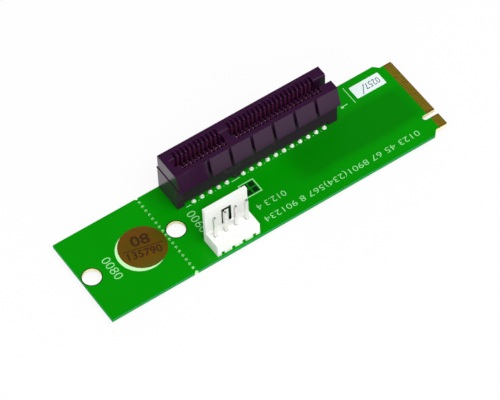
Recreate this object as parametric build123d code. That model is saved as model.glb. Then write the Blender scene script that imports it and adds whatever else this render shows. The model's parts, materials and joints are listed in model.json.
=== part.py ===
from build123d import *
import math
import os

# An open-ended card slot on a long narrow plug-in board, with a four-pin power header.
# Millimetres. X runs along the board to its gold edge, Y across it, Z up through it.
# The origin is in the middle of the plan, level with the tips of the soldered pins.

# The gold contacts of the tongue. Odd places lie on top, even places below.
place_count = 75
finger_pitch = 0.5
finger_width = 0.35
finger_thickness = 0.04
finger_side_margin = 0.675
finger_bevel_gap = 0.05
top_finger_length = 1.75
bottom_finger_length = 2.25
top_long_count = 29
bottom_long_count = 29
top_short_first_place = 67
bottom_short_first_place = 68

# The board. Distances along it are measured back from its gold edge.
board_thickness = 0.8
shoulder_step = 1.075
shoulder_distance = 4.0
shoulder_slope = 45.0
tongue_corner = 0.3
edge_bevel = 0.2

# The key notch in the tongue, half a place past a place that has no contact
notch_after_place = 62
notch_width = 1.2
notch_depth = 3.5

# The two screw holes for the two usable lengths, and the row of small holes between them
screw_hole_diameter = 4.0
long_hole_distance = 80.0
short_hole_distance = 60.0
end_web = 0.25
break_line_gap = 0.4
break_hole_diameter = 0.65
break_hole_spaces = 18

# The card slot
slot_height = 10.9
slot_hole_gap = 0.75
slot_back_inset = 0.25
contact_pitch = 1.0
short_bank_count = 11
long_bank_count = 21
key_gap = 3.0
slot_end_margin = 3.0
slot_open_end_margin = 3.3
slot_left_wall = 1.35
card_gap = 1.8
card_floor_height = 2.5
cavity_width = 0.6
cavity_depth = 1.5
front_wall = 0.85
back_wall = 1.35
top_wall = 1.0
mouth_chamfer = 0.2
mouth_chamfer_depth = 0.3
key_rib_width = 1.5
key_rib_drop = 0.6

# The slanted panels along the front of the slot, and the grooves between them
panel_overhang = 1.35
panel_height = 4.4
panel_pitch = 5.2
last_panel_length = 5.15
panel_groove_width = 0.7

# The step along the back of the slot, and the lip that goes on from it across the closed end
ledge_drop = 3.85
lip_height = 0.3
lip_depth = 0.15

# Feet and pegs under the slot
undercut_height = 1.2
left_foot_length = 1.9
key_foot_length = 1.6
right_foot_length = 2.2
peg_diameter = 2.3
peg_sides = 12
peg_end_distance = 1.35
peg_protrusion = 0.5
peg_clearance = 0.05

# The contacts of the slot, bent from flat strip
strip_thickness = 0.25
strip_width = 0.4
outer_row_offset = 3.25
inner_row_offset = 1.25
seat_depth = 1.0
jog_height = 0.65
bend_drop = 5.85
touch_reach = 0.18
touch_drop = 2.55
tip_setback = 0.45
tip_drop = 0.9
passage_clearance = 0.05

# Solder, pads and plated holes
tail_protrusion = 1.2
tail_tip_show = 0.5
tail_hole_clearance = 0.1
pad_diameter = 1.2
pad_thickness = 0.05
fillet_tip_margin = 0.06
pad_sides = 8
solder_sides = 6

# The power header
header_hole_gap = 1.05
header_end_margin = 1.3
header_depth = 4.95
header_front_inset = 0.5
header_base_height = 3.2
header_wall_height = 10.5
header_wall_thickness = 0.8
power_pin_count = 4
power_pin_pitch = 2.5
power_pin_size = 0.64
power_pin_height = 9.2
power_pin_wall_gap = 1.2
power_pin_taper = 0.15
power_pin_clearance = 0.05
power_pad_gap = 0.6
power_tip_show = 0.35
header_notch_width = 0.75
header_notch_height = 0.9
header_notch_depth = 1.0
latch_slit = 0.5
latch_tab_width = 1.1
latch_rise = 0.3
latch_top_drop = 2.5

# The round sticker
sticker_diameter = 10.2
sticker_thickness = 0.12
sticker_gap = 0.35
sticker_y = 0.2

# How far a cutter runs past the face it opens
cut_overrun = 1.0

# Derived sizes of the board
tongue_width = (place_count - 1) * finger_pitch / 2 + 2 * finger_side_margin
board_width = tongue_width + 2 * shoulder_step
screw_hole_radius = screw_hole_diameter / 2
board_length = long_hole_distance + screw_hole_radius + end_web
edge_x = board_length / 2
board_bottom = tail_protrusion
board_top = board_bottom + board_thickness
board_front = -board_width / 2
first_finger_y = tongue_width / 2 - finger_side_margin
notch_y = first_finger_y - (notch_after_place - 0.5) * finger_pitch / 2
break_line_distance = short_hole_distance + screw_hole_radius + break_line_gap
short_hole_right = edge_x - short_hole_distance + screw_hole_radius

# Derived places of the slot
cavity_offset = card_gap / 2 + cavity_depth
wall_offset = cavity_offset + front_wall
panel_offset = wall_offset + panel_overhang
top_offset = cavity_offset + top_wall
back_offset = cavity_offset + back_wall
seat_offset = card_gap / 2 + seat_depth
slot_center_y = board_width / 2 - slot_back_inset - back_offset
slot_left = short_hole_right + slot_hole_gap
first_contact_x = slot_left + slot_end_margin
short_bank_length = (short_bank_count - 1) * contact_pitch
long_bank_length = (long_bank_count - 1) * contact_pitch
key_x = first_contact_x + short_bank_length + key_gap / 2
last_contact_x = first_contact_x + short_bank_length + key_gap + long_bank_length
slot_right = last_contact_x + slot_open_end_margin
slot_length = slot_right - slot_left
slot_top = board_top + slot_height
card_floor = board_top + card_floor_height

# Derived places of the header and the sticker
header_length = (power_pin_count - 1) * power_pin_pitch + 2 * header_end_margin
header_left = short_hole_right + header_hole_gap
header_front = board_front + header_front_inset
header_back = header_front + header_depth
header_center_x = header_left + header_length / 2
wall_front = header_back - header_wall_thickness
wall_top = board_top + header_wall_height
power_pin_y = wall_front - power_pin_wall_gap - power_pin_size / 2
power_pad_diameter = power_pin_pitch - power_pad_gap
sticker_distance = break_line_distance + sticker_gap + sticker_diameter / 2


def block(x_range, y_range, z_range):
    """A box between two X, two Y and two Z values."""
    size = (x_range[1] - x_range[0], y_range[1] - y_range[0], z_range[1] - z_range[0])
    center = (sum(x_range) / 2, sum(y_range) / 2, sum(z_range) / 2)
    return Pos(*center) * Box(*size)


def upright(diameter, x, y, z_range):
    """A vertical cylinder between two Z values."""
    height = z_range[1] - z_range[0]
    return Pos(x, y, sum(z_range) / 2) * Cylinder(diameter / 2, height)


def small_upright(diameter, sides, x, y, z_range):
    """A vertical prism with a few flat sides, for a round too small to need more."""
    plan = RegularPolygon(diameter / 2, sides)
    return Pos(x, y, z_range[0]) * extrude(plan, amount=z_range[1] - z_range[0])


def end_profile(points, x_range):
    """A prism along X with the outline given as Y and Z pairs."""
    outline = make_face(Polyline(*points, close=True))
    prism = extrude(Plane.YZ * outline, amount=x_range[1] - x_range[0])
    return Pos(x_range[0], 0, 0) * prism


def strip_outline(path, thickness):
    """The outline of a bent strip that follows a path, with mitred bends."""
    points = [Vector(*place) for place in path]
    directions = [(b - a).normalized() for a, b in zip(points, points[1:])]
    sides = [Vector(-d.Y, d.X) for d in directions]
    offsets = [sides[0]]
    for before, after in zip(sides, sides[1:]):
        middle = before + after
        offsets.append(middle * (2 / middle.dot(middle)))
    offsets.append(sides[-1])
    left = [p + o * (thickness / 2) for p, o in zip(points, offsets)]
    right = [p - o * (thickness / 2) for p, o in zip(points, offsets)]
    return [(p.X, p.Y) for p in left + right[::-1]]


def contact_places():
    """The number and X of every place in the two banks of the slot."""
    short_bank = [first_contact_x + i * contact_pitch for i in range(short_bank_count)]
    long_start = short_bank[-1] + key_gap
    long_bank = [long_start + i * contact_pitch for i in range(long_bank_count)]
    return list(enumerate(short_bank + long_bank, start=1))


def places_in_row(side, row_offset):
    """The X values of one row of tails. The rows are staggered from front to back."""
    even = (side < 0) == (row_offset == outer_row_offset)
    return [x for number, x in contact_places() if (number % 2 == 0) == even]


def slot_rows():
    """Every row of tails as its name, side, offset and X values."""
    rows = []
    for side_name, side in (("front", -1), ("back", 1)):
        for row_name, offset in (("outer", outer_row_offset), ("inner", inner_row_offset)):
            rows.append((side_name, row_name, side, offset, places_in_row(side, offset)))
    return rows


def power_pin_places():
    """The X values of the power pins, centred on the header."""
    start = header_center_x - (power_pin_count - 1) * power_pin_pitch / 2
    return [start + i * power_pin_pitch for i in range(power_pin_count)]


def peg_places():
    """The X values of the two pegs, in the key gap and at the open end."""
    return [key_x, slot_right - peg_end_distance]


def copies(solid, places):
    """One group of equal solids, moved to each place."""
    return Compound([Pos(*place) * solid for place in places])


def board_outline():
    """The plan of the board, with sloped shoulders down to the tongue."""
    half_board = board_width / 2
    half_tongue = tongue_width / 2
    step = half_board - half_tongue
    run = step / math.tan(math.radians(shoulder_slope))
    shoulder_x = edge_x - shoulder_distance
    upper = [
        (shoulder_x, half_board),
        (shoulder_x + run, half_tongue),
        (edge_x - tongue_corner, half_tongue),
        (edge_x, half_tongue - tongue_corner),
    ]
    lower = [(x, -y) for x, y in reversed(upper)]
    return [(-edge_x, half_board)] + upper + lower + [(-edge_x, -half_board)]


def notch_cutter():
    """The key notch, with a round inner end."""
    heights = (board_bottom - cut_overrun, board_top + cut_overrun)
    round_x = edge_x - notch_depth + notch_width / 2
    sides = (notch_y - notch_width / 2, notch_y + notch_width / 2)
    straight = block((round_x, edge_x + cut_overrun), sides, heights)
    return straight + upright(notch_width, round_x, notch_y, heights)


def drilled_size(width, depth):
    """The diameter of a plated hole that a tail of that section passes through."""
    return math.hypot(width, depth) + 2 * tail_hole_clearance


def break_off_holes(heights):
    """The row of small holes across the board, with a half hole in each long edge."""
    x = edge_x - break_line_distance
    pitch = board_width / break_hole_spaces
    rows = [board_front + i * pitch for i in range(break_hole_spaces + 1)]
    return [small_upright(break_hole_diameter, pad_sides, x, y, heights) for y in rows]


def board_holes():
    """Screw holes, break-off holes, peg holes and the plated holes of every tail."""
    heights = (board_bottom - cut_overrun, board_top + cut_overrun)
    holes = break_off_holes(heights)
    for distance in (long_hole_distance, short_hole_distance):
        holes.append(upright(screw_hole_diameter, edge_x - distance, 0, heights))
    peg_hole = peg_diameter + 2 * peg_clearance
    for x in peg_places():
        holes.append(small_upright(peg_hole, peg_sides, x, slot_center_y, heights))
    tail_hole = drilled_size(strip_width, strip_thickness)
    for _, _, side, offset, places in slot_rows():
        for x in places:
            y = slot_center_y + side * offset
            holes.append(small_upright(tail_hole, solder_sides, x, y, heights))
    pin_hole = drilled_size(power_pin_size, power_pin_size)
    for x in power_pin_places():
        holes.append(small_upright(pin_hole, pad_sides, x, power_pin_y, heights))
    return holes


def circuit_board():
    """The bare board with its tongue, notch, bevelled gold edge and holes."""
    plan = make_face(Polyline(*board_outline(), close=True))
    board = Pos(0, 0, board_bottom) * extrude(plan, amount=board_thickness)
    front_edges = board.edges().filter_by(Axis.Y).group_by(Axis.X)[-1]
    board = chamfer(front_edges, edge_bevel)
    return board - notch_cutter() - board_holes()


def short_count(first_place):
    """How many contacts a short row has, from its first place to the last of its side."""
    return (place_count - first_place) // 2 + 1


def finger_row(first_place, count, length, top):
    """A row of flat gold contacts on one face of the tongue."""
    x_end = edge_x - edge_bevel - finger_bevel_gap
    z_low = board_top if top else board_bottom - finger_thickness
    first_y = first_finger_y - (first_place - 1) * finger_pitch / 2
    half = finger_width / 2
    finger = block((x_end - length, x_end), (-half, half), (z_low, z_low + finger_thickness))
    return copies(finger, [(0, first_y - i * finger_pitch, 0) for i in range(count)])


def panel_grooves():
    """Cutters for the grooves that part the slanted panels."""
    y_range = (slot_center_y - panel_offset - cut_overrun, slot_center_y - wall_offset)
    z_range = (slot_top - panel_height - cut_overrun, slot_top + cut_overrun)
    count = int((slot_length - last_panel_length) / panel_pitch)
    ends = [slot_right - last_panel_length - i * panel_pitch for i in range(count)]
    return [block((x - panel_groove_width, x), y_range, z_range) for x in ends]


def card_opening():
    """The long gap for a card, open at the right end, with a sloped mouth and a key rib."""
    half_gap = card_gap / 2
    x_range = (slot_left + slot_left_wall, slot_right + cut_overrun)
    y_range = (slot_center_y - half_gap, slot_center_y + half_gap)
    gap = block(x_range, y_range, (card_floor, slot_top + cut_overrun))
    mouth_low = slot_top - mouth_chamfer_depth
    mouth_half = half_gap + mouth_chamfer
    mouth = [
        (slot_center_y - half_gap, mouth_low),
        (slot_center_y + half_gap, mouth_low),
        (slot_center_y + mouth_half, slot_top),
        (slot_center_y - mouth_half, slot_top),
    ]
    half_rib = key_rib_width / 2
    rib = block((key_x - half_rib, key_x + half_rib), y_range, (card_floor, slot_top - key_rib_drop))
    return gap + end_profile(mouth, x_range) - rib


def contact_cavities():
    """Cutters for the cavities beside the card gap and the passages below them."""
    cutters = []
    half_cavity = cavity_width / 2
    half_strip = strip_width / 2 + passage_clearance
    half_sheet = strip_thickness / 2 + passage_clearance
    for side in (-1, 1):
        cavity_y = sorted((slot_center_y, slot_center_y + side * cavity_offset))
        seat_y = slot_center_y + side * seat_offset
        passage_y = (seat_y - half_sheet, seat_y + half_sheet)
        for _, x in contact_places():
            cavity_x = (x - half_cavity, x + half_cavity)
            passage_x = (x - half_strip, x + half_strip)
            cutters.append(block(cavity_x, cavity_y, (card_floor, slot_top + cut_overrun)))
            cutters.append(block(passage_x, passage_y, (board_top, card_floor)))
    return cutters


def undercuts():
    """Cutters that leave the slot standing on its three feet."""
    feet = [
        slot_left + left_foot_length,
        key_x - key_foot_length / 2,
        key_x + key_foot_length / 2,
        slot_right - right_foot_length,
    ]
    y_range = (slot_center_y - panel_offset, slot_center_y + back_offset + cut_overrun)
    z_range = (board_top - cut_overrun, board_top + undercut_height)
    return [block((a, b), y_range, z_range) for a, b in zip(feet[::2], feet[1::2])]


def slot_profile():
    """The outline of the slot's end, with the slanted panel on its front and the step on its back."""
    front_wall_y = slot_center_y - wall_offset
    panel_foot = slot_top - panel_height
    step_top = slot_top - ledge_drop
    return [
        (front_wall_y, board_top),
        (front_wall_y, panel_foot),
        (slot_center_y - panel_offset, panel_foot),
        (slot_center_y - top_offset, slot_top),
        (slot_center_y + top_offset, slot_top),
        (slot_center_y + top_offset, step_top),
        (slot_center_y + back_offset, step_top),
        (slot_center_y + back_offset, board_top),
    ]


def end_faces():
    """The two shallow cuts that leave a lip across the closed end of the slot."""
    x_range = (slot_left - cut_overrun, slot_left + lip_depth)
    y_range = (slot_center_y - panel_offset - cut_overrun, slot_center_y + back_offset + cut_overrun)
    lip_top = slot_top - ledge_drop
    below = block(x_range, y_range, (board_top - cut_overrun, lip_top - lip_height))
    above = block(x_range, y_range, (lip_top, slot_top + cut_overrun))
    return [below, above]


def slot_housing():
    """The moulded body of the slot."""
    body = end_profile(slot_profile(), (slot_left, slot_right))
    body = body - panel_grooves() - undercuts() - end_faces()
    body = body - card_opening() - contact_cavities()
    peg_range = (board_bottom - peg_protrusion, board_top + undercut_height)
    for x in peg_places():
        body = body + small_upright(peg_diameter, peg_sides, x, slot_center_y, peg_range)
    return body


def slot_contact(side, row_offset):
    """One contact at X zero, from its soldered tail to its curled tip."""
    half_gap = card_gap / 2
    path = [
        (side * row_offset, 0),
        (side * row_offset, board_top + jog_height),
        (side * seat_offset, board_top + jog_height),
        (side * seat_offset, slot_top - bend_drop),
        (side * (half_gap - touch_reach), slot_top - touch_drop),
        (side * (half_gap + tip_setback), slot_top - tip_drop),
    ]
    outline = make_face(Polyline(*strip_outline(path, strip_thickness), close=True))
    strip = extrude(Plane.YZ * outline, amount=strip_width / 2, both=True)
    return Pos(0, slot_center_y, 0) * strip


def tail_block(width, depth):
    """A tall block with the section of a tail, for fitting pads and solder to it."""
    return Box(width, depth, 4 * (board_top + slot_height))


def top_pad(pad, width, depth):
    """A thin round pad on top of the board, round one tail."""
    disc = small_upright(pad, pad_sides, 0, 0, (board_top, board_top + pad_thickness))
    return disc - tail_block(width, depth)


def solder_fillet(pad, height, width, depth):
    """The small cone of solder below the board, round one tail, as crossed sloping ridges."""
    tip_radius = math.hypot(width, depth) / 2 + fillet_tip_margin
    flat = math.cos(math.pi / solder_sides)
    half_foot = flat * pad / 2
    half_tip = flat * tip_radius
    low = board_bottom - height
    section = [(-half_foot, board_bottom), (half_foot, board_bottom), (half_tip, low), (-half_tip, low)]
    ridge = Pos(-pad, 0, 0) * end_profile(section, (0, 2 * pad))
    cone = ridge
    for i in range(1, solder_sides // 2):
        cone = cone & (Rot(0, 0, i * 360 / solder_sides) * ridge)
    return cone - tail_block(width, depth)


def header_housing():
    """The power header: a low base, a tall back wall and a sprung latch tab."""
    x_range = (header_left, header_left + header_length)
    profile = [
        (header_front, board_top),
        (header_front, board_top + header_base_height),
        (wall_front, board_top + header_base_height),
        (wall_front, wall_top),
        (header_back, wall_top),
        (header_back, board_top),
    ]
    body = end_profile(profile, x_range)
    body = body - latch_slit_cutter()
    notch_z = (board_top - cut_overrun, board_top + header_notch_height)
    notch_y_range = (header_front - cut_overrun, header_front + header_notch_depth)
    half_notch = header_notch_width / 2
    half_passage = power_pin_size / 2 + power_pin_clearance
    passage_y = (power_pin_y - half_passage, power_pin_y + half_passage)
    passage_z = (board_top - cut_overrun, board_top + header_base_height + cut_overrun)
    for x in power_pin_places():
        body = body - block((x - half_notch, x + half_notch), notch_y_range, notch_z)
        body = body - block((x - half_passage, x + half_passage), passage_y, passage_z)
    return body


def latch_slit_cutter():
    """The slit round three sides of the latch tab in the header's back wall."""
    half_tab = latch_tab_width / 2
    half_window = half_tab + latch_slit
    wall_y = (wall_front - cut_overrun, header_back + cut_overrun)
    slit_z = (board_top + header_base_height + latch_rise, wall_top - latch_top_drop)
    window = block((header_center_x - half_window, header_center_x + half_window), wall_y, slit_z)
    tab_z = (slit_z[0], slit_z[1] - latch_slit)
    return window - block((header_center_x - half_tab, header_center_x + half_tab), wall_y, tab_z)


def power_pin(x):
    """One square power pin with bevelled ends."""
    half = power_pin_size / 2
    pin = block((-half, half), (-half, half), (0, board_top + power_pin_height))
    ends = pin.edges().group_by(Axis.Z)[0] + pin.edges().group_by(Axis.Z)[-1]
    return Pos(x, power_pin_y, 0) * chamfer(ends, power_pin_taper)


def inspection_sticker():
    """The round sticker on the board."""
    heights = (board_top, board_top + sticker_thickness)
    return upright(sticker_diameter, edge_x - sticker_distance, sticker_y, heights)


def all_nodes():
    """Every separate piece, by name."""
    nodes = {"circuit_board": circuit_board()}
    rows = {
        "top_long": (1, top_long_count, top_finger_length, True),
        "top_short": (top_short_first_place, short_count(top_short_first_place), top_finger_length, True),
        "bottom_long": (2, bottom_long_count, bottom_finger_length, False),
        "bottom_short": (
            bottom_short_first_place,
            short_count(bottom_short_first_place),
            bottom_finger_length,
            False,
        ),
    }
    for row_name, row in rows.items():
        nodes[f"edge_contacts_{row_name}"] = finger_row(*row)
    nodes["slot_housing"] = slot_housing()
    pad = top_pad(pad_diameter, strip_width, strip_thickness)
    solder = solder_fillet(pad_diameter, tail_protrusion - tail_tip_show, strip_width, strip_thickness)
    for side_name, row_name, side, offset, places in slot_rows():
        name = f"{side_name}_{row_name}"
        row_y = slot_center_y + side * offset
        contact = slot_contact(side, offset)
        nodes[f"slot_contacts_{name}"] = copies(contact, [(x, 0, 0) for x in places])
        nodes[f"slot_solder_{name}"] = copies(solder, [(x, row_y, 0) for x in places])
        if offset == outer_row_offset:
            nodes[f"slot_pads_{name}"] = copies(pad, [(x, row_y, 0) for x in places])
    nodes["power_header_housing"] = header_housing()
    for number, x in enumerate(power_pin_places(), start=1):
        nodes[f"power_pin_{number}"] = power_pin(x)
    power_fillet_height = tail_protrusion - power_tip_show
    fillet = solder_fillet(power_pad_diameter, power_fillet_height, power_pin_size, power_pin_size)
    nodes["power_header_solder"] = copies(fillet, [(x, power_pin_y, 0) for x in power_pin_places()])
    nodes["inspection_sticker"] = inspection_sticker()
    return nodes


os.makedirs("parts", exist_ok=True)
for name, solid in all_nodes().items():
    export_step(solid, f"parts/{name}.step")
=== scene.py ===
"""A long plug-in adapter card with an open-ended card slot: its finishes, print, solder and stage."""

import json
import math

import bmesh
import bpy
from bpy.props import FloatProperty, FloatVectorProperty, IntProperty, PointerProperty, StringProperty
from bpy.types import Operator, Panel, PropertyGroup
from mathutils import Matrix, Vector


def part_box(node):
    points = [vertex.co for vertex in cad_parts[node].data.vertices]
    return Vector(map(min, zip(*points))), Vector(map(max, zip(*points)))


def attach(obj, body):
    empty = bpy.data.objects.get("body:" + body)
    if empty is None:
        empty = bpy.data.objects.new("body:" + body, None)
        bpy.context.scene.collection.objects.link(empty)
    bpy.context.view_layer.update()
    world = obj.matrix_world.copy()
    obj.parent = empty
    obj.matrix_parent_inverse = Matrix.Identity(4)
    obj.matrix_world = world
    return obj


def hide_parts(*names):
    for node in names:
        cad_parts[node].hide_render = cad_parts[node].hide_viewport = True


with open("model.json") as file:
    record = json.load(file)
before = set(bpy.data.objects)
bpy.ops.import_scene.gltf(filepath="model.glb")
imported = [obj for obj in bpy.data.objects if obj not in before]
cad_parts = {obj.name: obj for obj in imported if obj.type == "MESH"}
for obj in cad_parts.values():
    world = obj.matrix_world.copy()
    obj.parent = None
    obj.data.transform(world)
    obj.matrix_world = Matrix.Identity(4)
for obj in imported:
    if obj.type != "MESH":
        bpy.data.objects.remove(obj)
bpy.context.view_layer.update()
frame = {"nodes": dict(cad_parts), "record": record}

bl_info = {
    "name": "Adapter card",
    "version": (1, 0, 0),
    "blender": (4, 5, 0),
    "location": "3D View > Sidebar > Adapter card",
    "description": "Finishes, print, solder and stage for a plug-in adapter card",
    "category": "Object",
}

MM = 0.001
BOARD_LOW, BOARD_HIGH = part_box("circuit_board")
GOLD_EDGE = BOARD_HIGH.x
BOARD_TOP = BOARD_HIGH.z
BOARD_BOTTOM = BOARD_LOW.z
SCREW_HOLES = [
    ([place / MM for place in mount["pos_m"][:2]], mount["dims"]["r_mm"])
    for mount in frame["record"]["mounts"]
    if mount["kind"] == "bore"
]

# How a mesh is made: the distance in metres within which points are one, the sides of a large round
# piece, and the angles in degrees from which an edge is rounded on a moulding or stays sharp when shaded.
WELD = 1e-6
ROUND_SIDES = 96
MOULDED_EDGE = 25
SHARP_SHADING = 35

# The board's finish, in millimetres. A distance runs from the gold edge towards the screw holes, and one
# below zero lies past that edge, off the board.
PAST_EDGE = -1
TRACK_PITCH = 0.8
TRACK_DISTANCES = (17, 5)
POUR_DISTANCES = (28, 6)
POUR_Y = (-3.4, 2.6)
LAYER_PITCH = 0.2
MILLED_TONGUE = 3.6
BREAK_HOLES = (62.8, 62.0)

# The print on the board, as distances from the gold edge and Y values in millimetres.
RING_PLACE = (68.58, -0.12)
SLOT_LINES = ((55.3, 54.2), (44.4, 42.4))
SLOT_LINE_Y = 3.22
DASH_ROWS = ((53.25, 45.25), (41.25, 21.25))
DASH_PITCH = 2
DASH_HALF = 0.12
DASH_Y = (3.3, 3.4)
END_LINE = ((12.33, 12.17), (5.35, 9.95))
POINTER_HEAD = ((15.5, 14.9), (5.6, 6.1))
POINTER_TAIL = (14.9, 13.8)
POINTER_Y = 5.9
FRAME_X = (44.05, 40.4)
FRAME_Y = (-2.0, 1.65)
FRAME_LINE = 0.22
CELL_REACH = (0.14, 1.4)
PATCH = ((11.3, 4.0), (5.85, 9.2))
PATCH_CORNER = 0.3

# Each printed number: the distance and Y where it starts, the way it runs, the way its digits stand,
# its length and its height. The thin stroke is how much each letter's outline is drawn in.
FORWARD, ACROSS, BACK = (1, 0, 0), (0, -1, 0), (-1, 0, 0)
NUMBERS = {
    "far_number": (76.5, 2.3, ACROSS, FORWARD, 5.8, 1.9),
    "near_number": (56.4, 2.0, ACROSS, FORWARD, 5.7, 1.9),
    "long_row": (6.2, -7.3, BACK, ACROSS, 38, 1.8),
    "short_row": (37.0, -4.4, BACK, ACROSS, 6.8, 1.4),
}
THIN_STROKE = -0.012

# The pen on the patch: the distance and Y where it starts, its length and its height in millimetres, and
# how much its outline is drawn in or out.
PEN_NUMBER = (4.7, 8.3, 3.6, 1.6, 0.0)
PEN_SLASH = (8.1, 8.4, 1.6, 2.3, -0.02)
PEN_THICKNESS = 0.01

# The two banks of contacts in the slot, where painted light lies on the walls, in millimetres: the card gap
# from the back of its box, the key rib from the left, what stays clear on each side of the rib, the end walls
# at the left and the right, how far the banks reach to each side of the gap, and what they leave at the foot
# and the top.
CARD_GAP_FROM_BACK = 3.75
KEY_RIB_FROM_LEFT = 14.5
KEY_RIB_CLEAR = 1.1
BANK_MARGINS = (1.6, 3.3)
CONTACT_REACH = 2.4
CONTACT_HEIGHTS = (3.5, 0.7)

# How far above the board the tin goes up the contacts' tails, in millimetres.
TINNED_HEIGHT = 1.5

# The latch in the header's wall, in millimetres from its middle, its back, its foot and its top: the box of
# painted shade over the slit and a thin margin of the wall round it, and the latch tab that keeps the
# header's colour.
SLIT_X = (-1.18, 1.12)
TAB_HALF = 0.45
WALL_FROM_BACK = (0.9, 0.08)
SLIT_HEIGHTS = (3.5, 2.4)
TAB_FROM_TOP = 3.1

# Half outlines of the solder joints: radius, and height off the board's face, in millimetres.
JOINT_ABOVE = (
    (0.1, 0), (0.5, 0), (0.5, 0.04), (0.47, 0.1), (0.4, 0.22), (0.33, 0.4), (0.27, 0.6), (0.1, 0.72),
)
JOINT_BELOW = (
    (0.12, 0), (0.6, 0), (0.6, 0.04), (0.54, 0.1), (0.42, 0.22), (0.34, 0.4), (0.28, 0.62), (0.12, 0.7),
)
HEADER_JOINT = (
    (0.2, 0), (0.95, 0), (0.95, 0.05), (0.86, 0.14), (0.68, 0.34), (0.56, 0.58), (0.48, 0.8), (0.2, 0.85),
)

# Marks on the sticker, in millimetres along and up a line turned by so many degrees: where each starts
# from the middle, then its length and its height. The bold stroke is how much an outline is drawn out.
STICKER_TURN = -14
UPPER_MARK = ((-2.0, 0.5), (4.0, 2.6))
LOWER_MARK = ((-3.6, -2.4), (7.2, 1.9))
MIDDLE_LINE = ((-4.2, -0.2), (8.4, 0.22))
MARK_THICKNESS = 0.01
BOLD_STROKE = 0.02

# The stage: where each lamp stands and the side of its square face in metres, shares of full white, and
# the heights between which the walls turn into the ceiling, from 0 level with the floor to 1 straight up.
KEY_LAMP = ((0.08, -0.45, 1.0), 0.7)
FILL_LAMP = ((-0.75, -0.55, 0.7), 0.8)
FLOOR_GLOW = 0.88
WALL_WHITE = 0.95
CEILING_WHITE = 0.15
CEILING_RISE = (0.3, 0.62)


def linear(code):
    """The linear red, green and blue of an sRGB hex colour."""
    channels = [int(code[i : i + 2], 16) / 255 for i in (1, 3, 5)]
    return [c / 12.92 if c <= 0.04045 else ((c + 0.055) / 1.055) ** 2.4 for c in channels]


def colour(name, description, code):
    """A colour setting with an sRGB hex default."""
    return FloatVectorProperty(
        name=name, description=description, subtype="COLOR", default=linear(code), min=0, max=1
    )


def length(name, description, size):
    """A length setting with its default in millimetres."""
    return FloatProperty(name=name, description=description, unit="LENGTH", default=size * MM, min=0)


def angle(name, description, degrees):
    """An angle setting with its default in degrees."""
    return FloatProperty(name=name, description=description, subtype="ANGLE", default=math.radians(degrees))


def digits(name, description, default):
    """A setting for plain digits."""
    return StringProperty(name=name, description=description, default=default)


class BoardFinish(PropertyGroup):
    """Colours of the bare board."""

    mask: colour("Solder mask", "Green lacquer over bare laminate", "#009200")
    pour: colour("Mask on copper", "Green lacquer where copper lies under it", "#007C00")
    laminate: colour("Laminate", "Sawn edge of the glass and epoxy sheet", "#209C4C")
    milled: colour("Milled laminate", "Pale milled edge of the tongue and of the screw holes", "#F2ECC0")
    drilled: colour("Drilled laminate", "Wall of the small break-off holes", "#B0F6A8")
    # A dark ring of this width, laid on the lacquer round each screw hole.
    dark_hole_rim: colour("Bare rim", "Dark rim without lacquer round the screw holes", "#10380A")
    rim: length("Rim width", "Width of the bare rim round the screw holes", 0.22)
    tongue: colour("Bare tongue", "Laminate without lacquer between the gold contacts", "#6E4C14")
    bare_length: length("Bare length", "Length of the tongue that has no lacquer", 2.02)
    grain: length("Mask grain", "Size of the ripples in the lacquer", 0.5)


class PrintFinish(PropertyGroup):
    """The ink on the board."""

    ring: colour("Ring", "White ink with a green cast", "#CCFFC0")
    patch: colour("Patch", "White patch that can be written on", "#EEFBF8")
    thin_ink: colour("Thin ink", "White epoxy ink so thin that the green shows through", "#9CEE9E")
    dark: colour("Dark ink", "Green-black epoxy ink", "#03240A")
    pen: colour("Pen", "Blue-grey pen on the white patch", "#5A6E8C")
    thickness: length("Ink thickness", "How far the ink stands above the lacquer", 0.02)
    line: length("Line width", "Width of the printed lines", 0.18)
    ring_outer: length("Ring radius", "Outer radius of the ring under the sticker", 5.13)
    ring_inner: length("Ring inner radius", "Inner radius of the ring under the sticker", 4.2)
    far_number: digits("Far number", "Number at the far screw hole", "0080")
    near_number: digits("Near number", "Number at the near screw hole", "0060")
    long_row: digits("Long row", "Plain digits along the front", "0123 45 67 8901(234)567 8 901234")
    short_row: digits("Short row", "Plain digits above the long row", "012.3 4")
    patch_number: digits("Patch number", "Number on the white patch", "0257")


class MetalFinish(PropertyGroup):
    """Gold, tin and solder."""

    gold: colour("Gold", "Gold flash over nickel", "#A6941A")
    spring: colour("Contact springs", "Thinly gilt copper alloy", "#A0706A")
    tin: colour("Tin", "Bright tinned copper alloy", "#F0F0EE")
    solder: colour("Solder", "Reflowed solder", "#F0FCEC")
    segments: IntProperty(name="Joint sides", description="Sides of each solder joint", default=24, min=8)


class PlasticFinish(PropertyGroup):
    """The two mouldings."""

    slot: colour("Slot", "Dark purple glossy polyester", "#2E0C2E")
    # Painted light: a paler maroon on the walls round the card gap, where the deep cavities would be in
    # shade.
    slot_inside_light: colour("Inside of the slot", "Thin walls that let some light through", "#5E2054")
    header: colour("Header", "Natural white nylon", "#E8EAE6")
    # Painted shade: near-black on the walls of the latch slit and a thin margin round it.
    slit: colour("Latch slit", "Deep narrow slit round the latch tab", "#141414")
    slot_edge: length("Slot edge radius", "Radius of the moulded edges of the slot", 0.06)
    header_edge: length("Header edge radius", "Radius of the moulded edges of the header", 0.12)


class StickerFinish(PropertyGroup):
    """The round inspection sticker."""

    foil: colour("Foil", "Brown-gold metallised film", "#764A06")
    olive: colour("Olive foil", "Tone of the film where it turns from the light", "#4E5600")
    mark: colour("Mark", "Dark brown print", "#3E2406")
    upper: digits("Upper number", "Large digits", "08")
    lower: digits("Lower number", "Small digits", "135790")
    edge: length("Edge radius", "Roundness of the cut edge", 0.03)


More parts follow.
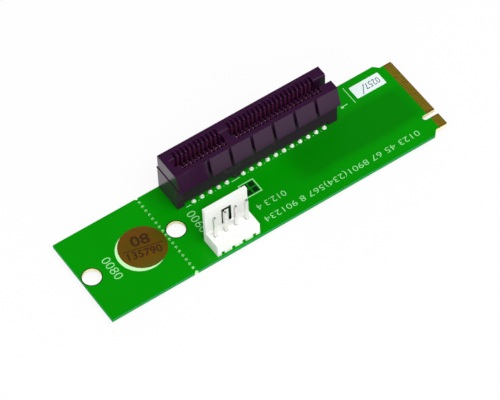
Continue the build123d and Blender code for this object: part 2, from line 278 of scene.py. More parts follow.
class StageSetting(PropertyGroup):
    """Camera, lamps and floor."""

    lens: FloatProperty(name="Lens", description="Focal length on a 36 mm sensor, in mm", default=223.03)
    azimuth: angle("Azimuth", "Direction the camera looks", 31.983)
    elevation: angle("Elevation", "How far the camera looks down", 53.642)
    roll: angle("Roll", "Turn about the view", -2.858)
    place: FloatVectorProperty(
        name="Place",
        description="Where the camera stands",
        subtype="TRANSLATION",
        default=(-0.19818, -0.31551, 0.50317),
    )
    floor: colour("Floor", "Pale matt paper", "#F2F2F2")
    key: FloatProperty(name="Key lamp", description="Power of the large soft lamp", default=9.5, unit="POWER")
    fill: FloatProperty(name="Fill lamp", description="Power of the second lamp", default=3.4, unit="POWER")


def add_node(tree, kind, settings=None, inputs=None):
    """Adds one node, with its settings and with values or links on its inputs."""
    node = tree.nodes.new(kind)
    for name, value in (settings or {}).items():
        setattr(node, name, value)
    for name, value in (inputs or {}).items():
        if isinstance(value, bpy.types.NodeSocket):
            tree.links.new(value, node.inputs[name])
        else:
            node.inputs[name].default_value = value
    return node


def new_material(name):
    """An empty material with its node tree and its shader."""
    material = bpy.data.materials.new(name)
    material.use_nodes = True
    return material, material.node_tree, material.node_tree.nodes["Principled BSDF"]


def rgba(values):
    """A colour with full opacity."""
    return (*values, 1)


def millimetres(tree):
    """The place on the object in millimetres, as one vector."""
    place = add_node(tree, "ShaderNodeTexCoord").outputs["Object"]
    scaled = add_node(tree, "ShaderNodeVectorMath", {"operation": "SCALE"}, {0: place, "Scale": 1 / MM})
    return scaled.outputs["Vector"]


def window(tree, value, low, high, fade):
    """One between low and high, falling softly to zero outside."""
    rise = {"Value": value, "From Min": low - fade, "From Max": low}
    fall = {"Value": value, "From Min": high, "From Max": high + fade, "To Min": 1, "To Max": 0}
    ends = [
        add_node(tree, "ShaderNodeMapRange", {"interpolation_type": "SMOOTHSTEP"}, ends).outputs[0]
        for ends in (rise, fall)
    ]
    return add_node(tree, "ShaderNodeMath", {"operation": "MULTIPLY"}, {0: ends[0], 1: ends[1]}).outputs[0]


def window_at_distances(tree, x, distances, fade):
    """One between two distances from the gold edge, in millimetres, falling softly to zero outside."""
    far, near = distances
    return window(tree, x, GOLD_EDGE / MM - far, GOLD_EDGE / MM - near, fade)


def inside_circle(tree, place, centre, radius):
    """One inside an upright cylinder, all in millimetres."""
    flat = {0: place, 1: (1, 1, 0)}
    plan = add_node(tree, "ShaderNodeVectorMath", {"operation": "MULTIPLY"}, flat).outputs[0]
    ends = {0: plan, 1: (*centre, 0)}
    away = add_node(tree, "ShaderNodeVectorMath", {"operation": "DISTANCE"}, ends).outputs["Value"]
    return add_node(tree, "ShaderNodeMath", {"operation": "LESS_THAN"}, {0: away, 1: radius}).outputs[0]


def layered(tree, base, *layers):
    """A base colour with further colours laid over it in turn, each a share and a colour."""
    for share, over in layers:
        inputs = {0: share, 6: base, 7: over}
        base = add_node(tree, "ShaderNodeMix", {"data_type": "RGBA"}, inputs).outputs[2]
    return base


def ripple(tree, place, size, depth):
    """A bump of soft ripples, with size and depth in millimetres."""
    noise = add_node(tree, "ShaderNodeTexNoise", None, {"Vector": place, "Scale": 1 / size, "Detail": 2})
    inputs = {"Height": noise.outputs[0], "Distance": depth * MM, "Strength": 1}
    return add_node(tree, "ShaderNodeBump", None, inputs).outputs[0]


def copper_tracks(tree, place, axes):
    """Tracks about 0.2 mm wide and evenly spaced, between the slot and the tongue."""
    wave = {"Vector": place, "Scale": math.pi / (10 * TRACK_PITCH)}
    lines = add_node(tree, "ShaderNodeTexWave", {"bands_direction": "Y"}, wave).outputs["Fac"]
    narrow = {"Value": lines, "From Min": 0.7, "From Max": 0.9}
    tracks = add_node(tree, "ShaderNodeMapRange", None, narrow).outputs[0]
    field = window_at_distances(tree, axes[0], TRACK_DISTANCES, 0.4)
    return add_node(tree, "ShaderNodeMath", {"operation": "MULTIPLY"}, {0: tracks, 1: field}).outputs[0]


def copper_pour(tree, place, axes):
    """How much copper lies under the lacquer: a soft field before the tongue, and slow mottling."""
    slow = {"Vector": place, "Scale": 1 / 9, "Detail": 2}
    patches = add_node(tree, "ShaderNodeTexNoise", None, slow).outputs[0]
    spread = {"Value": patches, "From Min": 0.35, "From Max": 0.65}
    mottle = add_node(tree, "ShaderNodeMapRange", None, spread).outputs[0]
    along = window_at_distances(tree, axes[0], POUR_DISTANCES, 7)
    across = window(tree, axes[1], *POUR_Y, 3.2)
    field = add_node(tree, "ShaderNodeMath", {"operation": "MULTIPLY"}, {0: along, 1: across}).outputs[0]
    both = {0: mottle, 1: 0.22, 2: field}
    return add_node(tree, "ShaderNodeMath", {"operation": "MULTIPLY_ADD"}, both).outputs[0]


def lacquer_colour(tree, place, axes, tracks, finish):
    """Green lacquer, deeper over poured copper, left off the tongue, with a dark ring round each screw hole.
    """
    pour = copper_pour(tree, place, axes)
    faint = add_node(tree, "ShaderNodeMath", {"operation": "MULTIPLY"}, {0: tracks, 1: 0.03}).outputs[0]
    rims = [
        (inside_circle(tree, place, centre, radius + finish.rim / MM), rgba(finish.dark_hole_rim))
        for centre, radius in SCREW_HOLES
    ]
    bare = window_at_distances(tree, axes[0], (finish.bare_length / MM, PAST_EDGE), 0.05)
    return layered(
        tree,
        rgba(finish.mask),
        (pour, rgba(finish.pour)),
        (faint, rgba(linear("#12A812"))),
        *rims,
        (bare, rgba(finish.tongue)),
    )


def sawn_colour(tree, place, axes, finish):
    """The cut sheet: faint glass layers, paler at the tongue and inside the holes."""
    wave = {"Vector": place, "Scale": math.pi / (10 * LAYER_PITCH), "Distortion": 1.5, "Detail": 2}
    layers = add_node(tree, "ShaderNodeTexWave", {"bands_direction": "Z"}, wave).outputs["Fac"]
    dim = add_node(tree, "ShaderNodeMath", {"operation": "MULTIPLY"}, {0: layers, 1: 0.35}).outputs[0]
    tongue = window_at_distances(tree, axes[0], (MILLED_TONGUE, PAST_EDGE), 0.1)
    walls = [
        (inside_circle(tree, place, centre, radius + 0.1), rgba(finish.milled))
        for centre, radius in SCREW_HOLES
    ]
    drilled = window_at_distances(tree, axes[0], BREAK_HOLES, 0.05)
    return layered(
        tree,
        rgba(finish.laminate),
        (dim, rgba(linear("#14783C"))),
        (tongue, rgba(finish.milled)),
        *walls,
        (drilled, rgba(finish.drilled)),
    )


def lacquered_laminate(finish):
    """Glass-epoxy laminate under green solder mask: a wet-looking, slightly rippled lacquer on top and
    below, a matt sawn edge with faint glass layers, and a bare brown tongue between the gold contacts."""
    material, tree, shader = new_material("lacquered_glass_laminate")
    place = millimetres(tree)
    axes = add_node(tree, "ShaderNodeSeparateXYZ", None, {0: place}).outputs
    tracks = copper_tracks(tree, place, axes)
    face = lacquer_colour(tree, place, axes, tracks, finish)
    sawn = sawn_colour(tree, place, axes, finish)
    normal = add_node(tree, "ShaderNodeNewGeometry").outputs["Normal"]
    upright = add_node(tree, "ShaderNodeSeparateXYZ", None, {0: normal}).outputs[2]
    flat = add_node(tree, "ShaderNodeMath", {"operation": "ABSOLUTE"}, {0: upright}).outputs[0]
    is_face = add_node(tree, "ShaderNodeMath", {"operation": "GREATER_THAN"}, {0: flat, 1: 0.5}).outputs[0]
    tree.links.new(layered(tree, sawn, (is_face, face)), shader.inputs["Base Color"])
    rough = add_node(tree, "ShaderNodeMapRange", None, {"Value": is_face, "To Min": 0.75, "To Max": 0.32})
    tree.links.new(rough.outputs[0], shader.inputs["Roughness"])
    raised = {"Height": tracks, "Distance": 0.01 * MM, "Strength": 1}
    lifted = add_node(tree, "ShaderNodeBump", None, raised).outputs[0]
    noise = {"Vector": place, "Scale": MM / finish.grain, "Detail": 2}
    fine = add_node(tree, "ShaderNodeTexNoise", None, noise).outputs[0]
    bump = {"Height": fine, "Distance": 0.006 * MM, "Strength": 1, "Normal": lifted}
    tree.links.new(add_node(tree, "ShaderNodeBump", None, bump).outputs[0], shader.inputs["Normal"])
    shader.inputs["Specular IOR Level"].default_value = 0.12
    return material


def ink(name, tint, roughness):
    """Screen-printed epoxy ink or pen: matt, a little uneven in its cover."""
    material, tree, shader = new_material(name)
    place = millimetres(tree)
    cover = add_node(tree, "ShaderNodeTexNoise", None, {"Vector": place, "Scale": 4, "Detail": 3}).outputs[0]
    thin = [channel * 0.86 for channel in tint]
    tree.links.new(layered(tree, rgba(thin), (cover, rgba(tint))), shader.inputs["Base Color"])
    tree.links.new(ripple(tree, place, 0.3, 0.004), shader.inputs["Normal"])
    shader.inputs["Roughness"].default_value = roughness
    shader.inputs["Specular IOR Level"].default_value = 0.2
    return material


def metal(name, tint, dull, roughness, size, depth, metallic=1.0, tinned=None):
    """A plated or tinned metal with fine ripples and duller patches. Tinned is the colour of the tinned
    lower end and the height in millimetres that it reaches."""
    material, tree, shader = new_material(name)
    place = millimetres(tree)
    slow = {"Vector": place, "Scale": 1 / (3 * size), "Detail": 2}
    patches = add_node(tree, "ShaderNodeTexNoise", None, slow).outputs[0]
    plating = layered(tree, rgba(tint), (patches, rgba(linear(dull))))
    if tinned:
        tin, top = tinned
        height = add_node(tree, "ShaderNodeSeparateXYZ", None, {0: place}).outputs[2]
        plating = layered(tree, plating, (window(tree, height, -1, top, 0.1), rgba(tin)))
    tree.links.new(plating, shader.inputs["Base Color"])
    tree.links.new(ripple(tree, place, size, depth), shader.inputs["Normal"])
    shader.inputs["Metallic"].default_value = metallic
    shader.inputs["Roughness"].default_value = roughness
    return material


def moulded_plastic(name, tint, roughness, level, size, depth, light_and_shade_zones):
    """A moulded plastic: one even colour, a fine mould texture and soft flow marks. Each zone lays a
    colour over a box of the moulding, which is how painted light and painted shade are put on: the colour,
    its X, Y and Z ranges and the width of its soft border, in millimetres."""
    material, tree, shader = new_material(name)
    place = millimetres(tree)
    slow = {"Vector": place, "Scale": 1 / 6, "Detail": 1}
    flow = add_node(tree, "ShaderNodeTexNoise", None, slow).outputs[0]
    paler = [channel * 1.12 for channel in tint]
    body = layered(tree, rgba(tint), (flow, rgba(paler)))
    axes = add_node(tree, "ShaderNodeSeparateXYZ", None, {0: place}).outputs
    for tone, ranges, fade in light_and_shade_zones:
        share = 1.0
        for axis, (low, high) in zip(axes, ranges):
            both = {0: share, 1: window(tree, axis, low, high, fade)}
            share = add_node(tree, "ShaderNodeMath", {"operation": "MULTIPLY"}, both).outputs[0]
        body = layered(tree, body, (share, rgba(tone)))
    tree.links.new(body, shader.inputs["Base Color"])
    tree.links.new(ripple(tree, place, size, depth), shader.inputs["Normal"])
    shader.inputs["Roughness"].default_value = roughness
    shader.inputs["Specular IOR Level"].default_value = level
    return material


def foil_film(settings):
    """Metallised film: a brown-gold sheen with a fine brushed grain, slightly creased, and painted olive
    shade in slow patches.
    """
    material, tree, shader = new_material("metallised_film")
    place = millimetres(tree)
    brushed = {"Vector": place, "Scale": (0.6, 8, 1)}
    stretch = add_node(tree, "ShaderNodeMapping", None, brushed).outputs[0]
    fine = {"Vector": stretch, "Scale": 1, "Detail": 3}
    grain = add_node(tree, "ShaderNodeTexNoise", None, fine).outputs[0]
    # Painted shade: slow noise turns patches of the film olive, for where it turns from the light.
    slow = {"Vector": place, "Scale": 1 / 6, "Detail": 1}
    turned_shade = add_node(tree, "ShaderNodeTexNoise", None, slow).outputs[0]
    spread = {"Value": turned_shade, "From Min": 0.4, "From Max": 0.6}
    turned = add_node(tree, "ShaderNodeMapRange", None, spread).outputs[0]
    film = layered(tree, rgba(settings.foil), (turned, rgba(settings.olive)))
    deep = [channel * 0.72 for channel in settings.foil]
    tree.links.new(layered(tree, rgba(deep), (grain, film)), shader.inputs["Base Color"])
    tree.links.new(ripple(tree, place, 2.5, 0.03), shader.inputs["Normal"])
    shader.inputs["Metallic"].default_value = 0.2
    shader.inputs["Roughness"].default_value = 0.45
    shader.inputs["Specular IOR Level"].default_value = 0.15
    return material


def give(nodes, material):
    """Puts one material on CAD nodes."""
    for node in nodes:
        mesh = frame["nodes"][node].data
        mesh.materials.clear()
        mesh.materials.append(material)


def make_piece(name, shape, material, replaced=(), rounded=False):
    """Turns a bmesh into a piece of the card that stands for the nodes it replaces."""
    mesh = bpy.data.meshes.new(name)
    shape.to_mesh(mesh)
    shape.free()
    mesh.materials.append(material)
    if rounded:
        mesh.shade_smooth()
        mesh.set_sharp_from_angle(angle=math.radians(SHARP_SHADING))
    piece = bpy.data.objects.new(name, mesh)
    bpy.context.scene.collection.objects.link(piece)
    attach(piece, "root")
    if replaced:
        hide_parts(*replaced)


def add_bar(shape, x_range, y_range, z_range):
    """A flat bar between two X, two Y and two Z values, in metres."""
    ranges = (x_range, y_range, z_range)
    size = Matrix.Diagonal([high - low for low, high in ranges]).to_4x4()
    middle = Matrix.Translation([(low + high) / 2 for low, high in ranges])
    bmesh.ops.create_cube(shape, size=1, matrix=middle @ size)


def on_board(distance):
    """The X of a place given as its distance from the gold edge, in millimetres."""
    return GOLD_EDGE - distance * MM


def printed_bar(shape, distances, y_range, thickness):
    """A printed bar between two distances from the gold edge and two Y values, in millimetres."""
    x_range = sorted(on_board(distance) for distance in distances)
    add_bar(shape, x_range, sorted(y * MM for y in y_range), (BOARD_TOP, BOARD_TOP + thickness))


def add_words(shape, words, corner, along, up, size, heights, bold):
    """Words as closed flat shapes. The corner is where the first letter stands, along and up are unit
    vectors, size is the length and the letter height, all in metres. Bold is how much the outline of
    each letter is drawn out, before the words get their size."""
    text = bpy.data.curves.new("words", "FONT")
    text.body = words
    text.extrude = 0.5
    text.resolution_u = 3
    text.offset = bold
    carrier = bpy.data.objects.new("words", text)
    flat = bpy.data.meshes.new_from_object(carrier)
    bpy.data.objects.remove(carrier)
    corners = [vertex.co for vertex in flat.vertices]
    low = Vector([min(corner[i] for corner in corners) for i in range(3)])
    high = Vector([max(corner[i] for corner in corners) for i in range(3)])
    scale = (size[0] / (high.x - low.x), size[1] / (high.y - low.y), heights[1] - heights[0])
    stretch = Matrix.Diagonal(scale)
    turn = Matrix([along, up, Vector(along).cross(Vector(up))]).transposed()
    place = Matrix.Translation((*corner, heights[0]))
    flat.transform(place @ turn.to_4x4() @ stretch.to_4x4() @ Matrix.Translation(-low))
    before = len(shape.verts)
    shape.from_mesh(flat)
    shape.verts.ensure_lookup_table()
    bmesh.ops.remove_doubles(shape, verts=shape.verts[before:], dist=WELD)
    bpy.data.meshes.remove(flat)


def spin_profile(shape, centre, corners, segments):
    """A closed profile of radius and height pairs, spun once round a vertical axis."""
    verts = [shape.verts.new((centre[0] + radius, centre[1], height)) for radius, height in corners]
    edges = [shape.edges.new(pair) for pair in zip(verts, verts[1:] + verts[:1])]
    bmesh.ops.spin(
        shape,
        geom=verts + edges,
        cent=(*centre, 0),
        axis=(0, 0, 1),
        angle=math.tau,
        steps=segments,
        use_merge=True,
    )


def softened_copy(node, radius):
    """A copy of a CAD node with small radii on its edges, as a moulding has."""
    shape = bmesh.new()
    shape.from_mesh(frame["nodes"][node].data)
    bmesh.ops.remove_doubles(shape, verts=shape.verts, dist=WELD)
    bmesh.ops.dissolve_limit(shape, angle_limit=math.radians(1), verts=shape.verts, edges=shape.edges)
    sharp = math.radians(MOULDED_EDGE)
    edges = [e for e in shape.edges if e.is_manifold and e.calc_face_angle(0) > sharp]
    made = bmesh.ops.bevel(
        shape,
        geom=edges,
        offset=radius,
        offset_type="OFFSET",
        affect="EDGES",
        segments=2,
        profile=0.5,
        clamp_overlap=True,
        material=-1,
    )
    for face in made["faces"]:
        face.smooth = True
    return shape


def solid_places(node):
    """The middle of the plan of each separate solid of a node."""
    shape = bmesh.new()
    shape.from_mesh(frame["nodes"][node].data)
    bmesh.ops.remove_doubles(shape, verts=shape.verts, dist=WELD)
    waiting = set(shape.verts)
    places = []
    while waiting:
        group = [waiting.pop()]
        for vertex in group:
            for edge in vertex.link_edges:
                other = edge.other_vert(vertex)
                if other in waiting:
                    waiting.remove(other)
                    group.append(other)
        xs = [vertex.co.x for vertex in group]
        ys = [vertex.co.y for vertex in group]
        places.append(((min(xs) + max(xs)) / 2, (min(ys) + max(ys)) / 2))
    shape.free()
    return sorted(places)


class CARD_OT_board(Operator):
    """Gives the board its lacquer, sawn edge and bare tongue"""

    bl_idname = "card.board"
    bl_label = "Circuit board"

    def execute(self, context):
        give(["circuit_board"], lacquered_laminate(context.scene.card_board))
        return {"FINISHED"}


class CARD_OT_print(Operator):
    """Prints the ring, lines, patch and plain numbers on the board"""

    bl_idname = "card.print"
    bl_label = "Board print"

    def execute(self, context):
        settings = context.scene.card_print
        # Thin white epoxy ink: matt pale green strokes, because the lacquer shows through.
        thin = ink("thin_epoxy_ink", settings.thin_ink, 0.6)
        self.print_ring(settings)
        self.print_lines(settings, thin)
        self.print_cells(settings)
        self.print_numbers(settings, thin)
        self.print_patch(settings)
        self.write_with_pen(settings)
        return {"FINISHED"}

    def print_ring(self, settings):
        """The ring that the sticker covers but for a crescent."""
        ring = bmesh.new()
        distance, y = RING_PLACE
        low, high = BOARD_TOP, BOARD_TOP + settings.thickness
        inner, outer = settings.ring_inner, settings.ring_outer
        corners = [(inner, low), (outer, low), (outer, high), (inner, high)]
        spin_profile(ring, (on_board(distance), y * MM), corners, ROUND_SIDES)
        # Thick white epoxy ink: matt and opaque, with a green cast.
        make_piece("printed_ring", ring, ink("ring_epoxy_ink", settings.ring, 0.6), rounded=True)

    def print_lines(self, settings, material):
        """The lines and dashes along the slot, the pointer at its end and the frame of the cells."""
        marks = bmesh.new()
        thick = settings.thickness
        line = settings.line / MM
        for distances in SLOT_LINES:
            printed_bar(marks, distances, (SLOT_LINE_Y, SLOT_LINE_Y + line), thick)
        for left, right in DASH_ROWS:
            for number in range(int((left - right) / DASH_PITCH)):
                middle = left - DASH_PITCH / 2 - DASH_PITCH * number
                printed_bar(marks, (middle + DASH_HALF, middle - DASH_HALF), DASH_Y, thick)
        printed_bar(marks, *END_LINE, thick)
        printed_bar(marks, *POINTER_HEAD, thick)
        printed_bar(marks, POINTER_TAIL, (POINTER_Y, POINTER_Y + line), thick)
        left, right = FRAME_X
        low, high = FRAME_Y
        printed_bar(marks, (left, left - FRAME_LINE), FRAME_Y, thick)
        printed_bar(marks, (right + FRAME_LINE, right), FRAME_Y, thick)
        for y in (low, high - FRAME_LINE):
            printed_bar(marks, (left - FRAME_LINE, right + FRAME_LINE), (y, y + FRAME_LINE), thick)
        make_piece("printed_lines", marks, material)

    def print_cells(self, settings):
        """Four dark cells inside the frame."""
        cells = bmesh.new()
        middle_x, middle_y = sum(FRAME_X) / 2, sum(FRAME_Y) / 2
        near, far = CELL_REACH
        for side_x in (-1, 1):
            for side_y in (-1, 1):
                distances = (middle_x + side_x * near, middle_x + side_x * far)
                y_range = (middle_y + side_y * near, middle_y + side_y * far)
                printed_bar(cells, distances, y_range, settings.thickness)
        # Black epoxy ink: quite matt, and green-black beside the lacquer.
        make_piece("printed_cells", cells, ink("black_epoxy_ink", settings.dark, 0.85))

    def print_numbers(self, settings, material):
        """Plain numbers at the screw holes and along the front."""
        numbers = bmesh.new()
        heights = (BOARD_TOP, BOARD_TOP + settings.thickness)
        for name, (distance, y, along, up, run, tall) in NUMBERS.items():
            corner = (on_board(distance), y * MM)
            size = (run * MM, tall * MM)
            add_words(numbers, getattr(settings, name), corner, along, up, size, heights, THIN_STROKE)
        make_piece("printed_numbers", numbers, material)

    def print_patch(self, settings):
        """The patch that can be written on, with small corner radii."""
        patch = bmesh.new()
        thick = settings.thickness
        printed_bar(patch, *PATCH, thick)
        corners = [e for e in patch.edges if abs(e.verts[0].co.z - e.verts[1].co.z) > thick / 2]
        bmesh.ops.bevel(
            patch,
            geom=corners,
            offset=PATCH_CORNER * MM,
            affect="EDGES",
            segments=4,
            profile=0.5,
            material=-1,
        )
        # Chalky white ink that takes a pen: matt, and a little cold.
        make_piece("printed_patch", patch, ink("writable_white_ink", settings.patch, 0.7))

    def write_with_pen(self, settings):
        """A plain number and a slash on the patch."""
        pen = bmesh.new()
        top = BOARD_TOP + settings.thickness
        heights = (top, top + PEN_THICKNESS * MM)
        for words, place in ((settings.patch_number, PEN_NUMBER), ("/", PEN_SLASH)):
            distance, y, run, tall, bold = place
            corner = (on_board(distance), y * MM)
            add_words(pen, words, corner, BACK, ACROSS, (run * MM, tall * MM), heights, bold)
        # Dried pen ink: thin blue-grey strokes.
        make_piece("pen_number", pen, ink("blue_grey_pen", settings.pen, 0.5))


class CARD_OT_edge_contacts(Operator):
    """Gives the contacts of the tongue their gold flash"""

    bl_idname = "card.edge_contacts"
    bl_label = "Edge contacts"

    def execute(self, context):
        tint = context.scene.card_metal.gold
        # Gold flash on nickel over etched copper: a soft yellow-brown sheen, a little patchy.
        gold = metal("gold_flash_on_nickel", tint, "#7A6610", 0.42, 0.25, 0.003, 0.6)
        places = ("top_long", "top_short", "bottom_long", "bottom_short")
        give([f"edge_contacts_{place}" for place in places], gold)
        return {"FINISHED"}


class CARD_OT_slot(Operator):
    """Makes the moulded slot and finishes its contact springs"""

    bl_idname = "card.slot"
    bl_label = "Card slot"

    def execute(self, context):
        plastics = context.scene.card_plastic
        # Painted light: a paler maroon on the walls round the card gap, where the deep cavities are in shade.
        light_and_shade_zones = self.contact_bank_light(plastics.slot_inside_light)
        # Glass-filled polyester, moulded: nearly black purple with a clear gloss.
        dark = moulded_plastic("glossy_dark_polyester", plastics.slot, 0.2, 0.33, 0.4, 0.003, light_and_shade_zones)
        shape = softened_copy("slot_housing", plastics.slot_edge)
        make_piece("moulded_slot", shape, dark, ["slot_housing"])
        metals = context.scene.card_metal
        tint = metals.spring
        tail = (metals.tin, BOARD_TOP / MM + TINNED_HEIGHT)
        # Copper alloy strip, gilt above and tinned below: warm glints in the slot, and silver tails.
        springs = metal("gilt_spring_with_tinned_tail", tint, "#6A4440", 0.35, 0.3, 0.004, tinned=tail)
        sides = ("front_outer", "front_inner", "back_outer", "back_inner")
        give([f"slot_contacts_{side}" for side in sides], springs)
        return {"FINISHED"}

    def contact_bank_light(self, tone):
        """Zones of painted light over the two banks of contacts, between the end walls and the key rib."""
        low, high = (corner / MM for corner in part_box("slot_housing"))
        middle = high.y - CARD_GAP_FROM_BACK
        rib = low.x + KEY_RIB_FROM_LEFT
        y_range = (middle - CONTACT_REACH, middle + CONTACT_REACH)
        z_range = (low.z + CONTACT_HEIGHTS[0], high.z - CONTACT_HEIGHTS[1])
        left_bank = (low.x + BANK_MARGINS[0], rib - KEY_RIB_CLEAR)
        right_bank = (rib + KEY_RIB_CLEAR, high.x - BANK_MARGINS[1])
        return [(tone, (bank, y_range, z_range), 0.3) for bank in (left_bank, right_bank)]


class CARD_OT_solder(Operator):
    """Makes the round solder joints of every tail, above and below the board"""

    bl_idname = "card.solder"
    bl_label = "Solder joints"

    def execute(self, context):
        settings = context.scene.card_metal
        # Reflowed solder: smooth pale cones with a soft shine.
        bright = metal("reflowed_solder", settings.solder, "#E8F4E4", 0.45, 0.3, 0.01, 0.15)
        above = [(radius, BOARD_TOP / MM + height) for radius, height in JOINT_ABOVE]
        for side in ("front_outer", "back_outer"):
            names = (f"joints_above_{side}", f"slot_pads_{side}", "tinned_pad")
            self.make_joints(*names, above, bright, settings.segments)
        below = [(radius, BOARD_BOTTOM / MM - height) for radius, height in JOINT_BELOW]
        for side in ("front_outer", "front_inner", "back_outer", "back_inner"):
            names = (f"joints_below_{side}", f"slot_solder_{side}", "solder")
            self.make_joints(*names, below, bright, settings.segments)
        below = [(radius, BOARD_BOTTOM / MM - height) for radius, height in HEADER_JOINT]
        names = ("joints_of_header", "power_header_solder", "solder")
        self.make_joints(*names, below, bright, settings.segments)
        return {"FINISHED"}

    def make_joints(self, name, node, slot, outline, material, segments):
        """One piece of like joints, one at each solid of the node it replaces."""
        shape = bmesh.new()
        corners = [(radius * MM, height * MM) for radius, height in outline]
        for place in solid_places(node):
            spin_profile(shape, place, corners, segments)
        bmesh.ops.recalc_face_normals(shape, faces=shape.faces)
        make_piece(name, shape, material, [node], rounded=True)


class CARD_OT_power_header(Operator):
    """Makes the white header and finishes its pins"""

    bl_idname = "card.power_header"
    bl_label = "Power header"

    def execute(self, context):
        plastics = context.scene.card_plastic
        # Painted shade: near-black in the latch slit and a thin margin round it, the tab kept in the header's
        # colour.
        light_and_shade_zones = self.latch_shade_zones(plastics)
        # Natural nylon, moulded: milky white with a soft sheen.
        white = moulded_plastic("natural_nylon", plastics.header, 0.38, 0.4, 0.6, 0.004, light_and_shade_zones)
        shape = softened_copy("power_header_housing", plastics.header_edge)
        make_piece("moulded_header", shape, white, ["power_header_housing"])
        # Bright tin on square pins: silver with clear reflections.
        tin = metal("bright_tin", context.scene.card_metal.tin, "#DADAD6", 0.25, 0.4, 0.003)
        give([f"power_pin_{number}" for number in range(1, 5)], tin)
        return {"FINISHED"}

    def latch_shade_zones(self, plastics):
        """Painted shade over the slit in the back wall and a thin margin round it, and the latch tab inside
        it in the header's own colour.
        """
        low, high = (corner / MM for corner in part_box("power_header_housing"))
        middle = (low.x + high.x) / 2
        wall = (high.y - WALL_FROM_BACK[0], high.y - WALL_FROM_BACK[1])
        slit_x = (middle + SLIT_X[0], middle + SLIT_X[1])
        slit = (slit_x, wall, (low.z + SLIT_HEIGHTS[0], high.z - SLIT_HEIGHTS[1]))
        tab = ((middle - TAB_HALF, middle + TAB_HALF), wall, (low.z, high.z - TAB_FROM_TOP))
        return [(plastics.slit, slit, 0.04), (plastics.header, tab, 0.04)]


class CARD_OT_sticker(Operator):
    """Makes the round foil sticker with plain numbers"""

    bl_idname = "card.sticker"
    bl_label = "Inspection sticker"

    def execute(self, context):
        settings = context.scene.card_sticker
        low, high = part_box("inspection_sticker")
        centre = ((low.x + high.x) / 2, (low.y + high.y) / 2)
        self.cut_disc(settings, low, high, centre)
        self.print_marks(settings, high.z, centre)
        return {"FINISHED"}

    def cut_disc(self, settings, low, high, centre):
        """The disc, with its upper edge rounded by the cutter."""
        disc = bmesh.new()
        radius = (high.x - low.x) / 2
        depth = high.z - low.z
        middle = Matrix.Translation((*centre, (low.z + high.z) / 2))
        bmesh.ops.create_cone(
            disc,
            cap_ends=True,
            segments=ROUND_SIDES,
            radius1=radius,
            radius2=radius,
            depth=depth,
            matrix=middle,
        )
        rim = [e for e in disc.edges if all(abs(v.co.z - high.z) < depth / 4 for v in e.verts)]
        bmesh.ops.bevel(
            disc, geom=rim, offset=settings.edge, affect="EDGES", segments=2, profile=0.5, material=-1
        )
        film = foil_film(settings)
        make_piece("foil_sticker", disc, film, ["inspection_sticker"], rounded=True)

    def print_marks(self, settings, top, centre):
        """Plain numbers above and below a line, all on one slant."""
        marks = bmesh.new()
        heights = (top, top + MARK_THICKNESS * MM)
        turn = Matrix.Rotation(math.radians(STICKER_TURN), 2)
        along, up = turn @ Vector((1, 0)), turn @ Vector((0, 1))
        for words, (offset, size) in (
            (settings.upper, UPPER_MARK),
            (settings.lower, LOWER_MARK),
            ("-", MIDDLE_LINE),
        ):
            corner = Vector(centre) + (along * offset[0] + up * offset[1]) * MM
            metres = [side * MM for side in size]
            add_words(marks, words, corner, (*along, 0), (*up, 0), metres, heights, BOLD_STROKE)
        # Brown ink printed on the film: dark, with little shine.
        make_piece("sticker_marks", marks, ink("brown_print", settings.mark, 0.5))


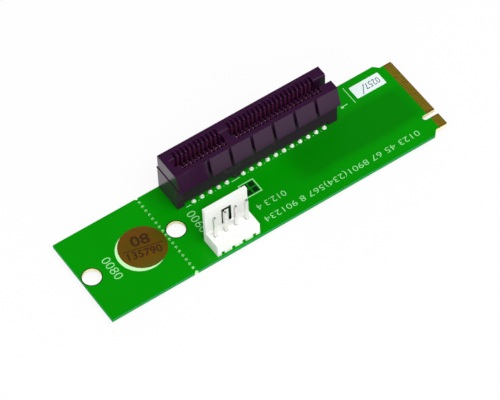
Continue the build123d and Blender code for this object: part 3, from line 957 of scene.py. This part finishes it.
class CARD_OT_stage(Operator):
    """Makes the pale floor, the soft lamps and the camera"""

    bl_idname = "card.stage"
    bl_label = "Stage"

    def execute(self, context):
        settings = context.scene.card_stage
        self.make_floor(settings)
        self.make_sky()
        self.make_lamp("key_lamp", *KEY_LAMP, settings.key)
        self.make_lamp("fill_lamp", *FILL_LAMP, settings.fill)
        self.make_camera(context, settings)
        context.scene.view_settings.view_transform = "Standard"
        return {"FINISHED"}

    def make_floor(self, settings):
        """A wide matt sheet that shows white and keeps the shadow of the card."""
        shape = bmesh.new()
        bmesh.ops.create_grid(shape, x_segments=2, y_segments=2, size=4)
        mesh = bpy.data.meshes.new("floor")
        shape.to_mesh(mesh)
        shape.free()
        material, tree, shader = new_material("matt_white_paper")
        shader.inputs["Base Color"].default_value = rgba(settings.floor)
        shader.inputs["Roughness"].default_value = 0.9
        shader.inputs["Specular IOR Level"].default_value = 0.1
        part = {0: self.seen_directly(tree), 1: FLOOR_GLOW}
        share = add_node(tree, "ShaderNodeMath", {"operation": "MULTIPLY"}, part).outputs[0]
        white = {"Color": (1, 1, 1, 1), "Strength": 1.0}
        glow = add_node(tree, "ShaderNodeEmission", None, white).outputs[0]
        both = {0: share, 1: shader.outputs[0], 2: glow}
        mixed = add_node(tree, "ShaderNodeMixShader", None, both).outputs[0]
        tree.links.new(mixed, tree.nodes["Material Output"].inputs["Surface"])
        mesh.materials.append(material)
        floor = bpy.data.objects.new("floor", mesh)
        bpy.context.scene.collection.objects.link(floor)

    def seen_directly(self, tree):
        """One for rays from the camera and for mirrored and refracted ones."""
        rays = add_node(tree, "ShaderNodeLightPath").outputs
        seen = rays["Is Camera Ray"]
        for kind in ("Is Glossy Ray", "Is Transmission Ray"):
            either = {0: seen, 1: rays[kind]}
            seen = add_node(tree, "ShaderNodeMath", {"operation": "MAXIMUM"}, either).outputs[0]
        return seen

    def make_sky(self):
        """A studio round the floor: white walls below a dim ceiling."""
        world = bpy.data.worlds.new("studio")
        bpy.context.scene.world = world
        world.use_nodes = True
        tree = world.node_tree
        direction = add_node(tree, "ShaderNodeTexCoord").outputs["Generated"]
        height = add_node(tree, "ShaderNodeSeparateXYZ", None, {0: direction}).outputs[2]
        rise = {"Value": height, "From Min": CEILING_RISE[0], "From Max": CEILING_RISE[1]}
        rise |= {"To Min": WALL_WHITE, "To Max": CEILING_WHITE}
        strength = add_node(tree, "ShaderNodeMapRange", {"interpolation_type": "SMOOTHSTEP"}, rise).outputs[0]
        tree.links.new(strength, tree.nodes["Background"].inputs["Strength"])
        tree.nodes["Background"].inputs["Color"].default_value = (1, 1, 1, 1)

    def make_lamp(self, name, place, size, power):
        """One large square lamp that faces the card."""
        light = bpy.data.lights.new(name, "AREA")
        light.size = size
        light.energy = power
        lamp = bpy.data.objects.new(name, light)
        lamp.location = place
        lamp.rotation_euler = (-Vector(place)).to_track_quat("-Z", "Y").to_euler()
        bpy.context.scene.collection.objects.link(lamp)

    def make_camera(self, context, settings):
        """The camera at the photograph's angle, with a long lens."""
        data = bpy.data.cameras.new("camera")
        data.sensor_width = 36
        data.sensor_fit = "HORIZONTAL"
        data.lens = settings.lens
        data.clip_start = 0.01
        data.clip_end = 20
        camera = bpy.data.objects.new("camera", data)
        heading = Matrix.Rotation(-settings.azimuth, 4, "Z")
        turn = heading @ Matrix.Rotation(math.pi / 2 - settings.elevation, 4, "X")
        roll = Matrix.Rotation(settings.roll, 4, "Z")
        camera.matrix_world = Matrix.Translation(settings.place) @ turn @ roll
        context.scene.collection.objects.link(camera)
        context.scene.camera = camera


OPERATORS = (
    CARD_OT_stage,
    CARD_OT_board,
    CARD_OT_print,
    CARD_OT_edge_contacts,
    CARD_OT_slot,
    CARD_OT_solder,
    CARD_OT_power_header,
    CARD_OT_sticker,
)
GROUPS = {
    "card_board": BoardFinish,
    "card_print": PrintFinish,
    "card_metal": MetalFinish,
    "card_plastic": PlasticFinish,
    "card_sticker": StickerFinish,
    "card_stage": StageSetting,
}


class CARD_PT_panel(Panel):
    """Lists the pieces of the card and the sizes and colours a user may change"""

    bl_idname = "CARD_PT_panel"
    bl_label = "Adapter card"
    bl_space_type = "VIEW_3D"
    bl_region_type = "UI"
    bl_category = "Adapter card"

    def draw(self, context):
        for name, group in GROUPS.items():
            box = self.layout.box()
            box.label(text=group.__name__)
            for setting in group.__annotations__:
                box.prop(getattr(context.scene, name), setting)
        for operator in OPERATORS:
            self.layout.operator(operator.bl_idname)


def register():
    for group in GROUPS.values():
        bpy.utils.register_class(group)
    for name, group in GROUPS.items():
        setattr(bpy.types.Scene, name, PointerProperty(type=group))
    for operator in OPERATORS:
        bpy.utils.register_class(operator)
    bpy.utils.register_class(CARD_PT_panel)


def unregister():
    bpy.utils.unregister_class(CARD_PT_panel)
    for operator in reversed(OPERATORS):
        bpy.utils.unregister_class(operator)
    for name, group in reversed(GROUPS.items()):
        delattr(bpy.types.Scene, name)
        bpy.utils.unregister_class(group)


def main():
    register()
    bpy.ops.card.stage()
    bpy.ops.card.board()
    bpy.ops.card.print()
    bpy.ops.card.edge_contacts()
    bpy.ops.card.slot()
    bpy.ops.card.solder()
    bpy.ops.card.power_header()
    bpy.ops.card.sticker()


if __name__ == "__main__":
    main()
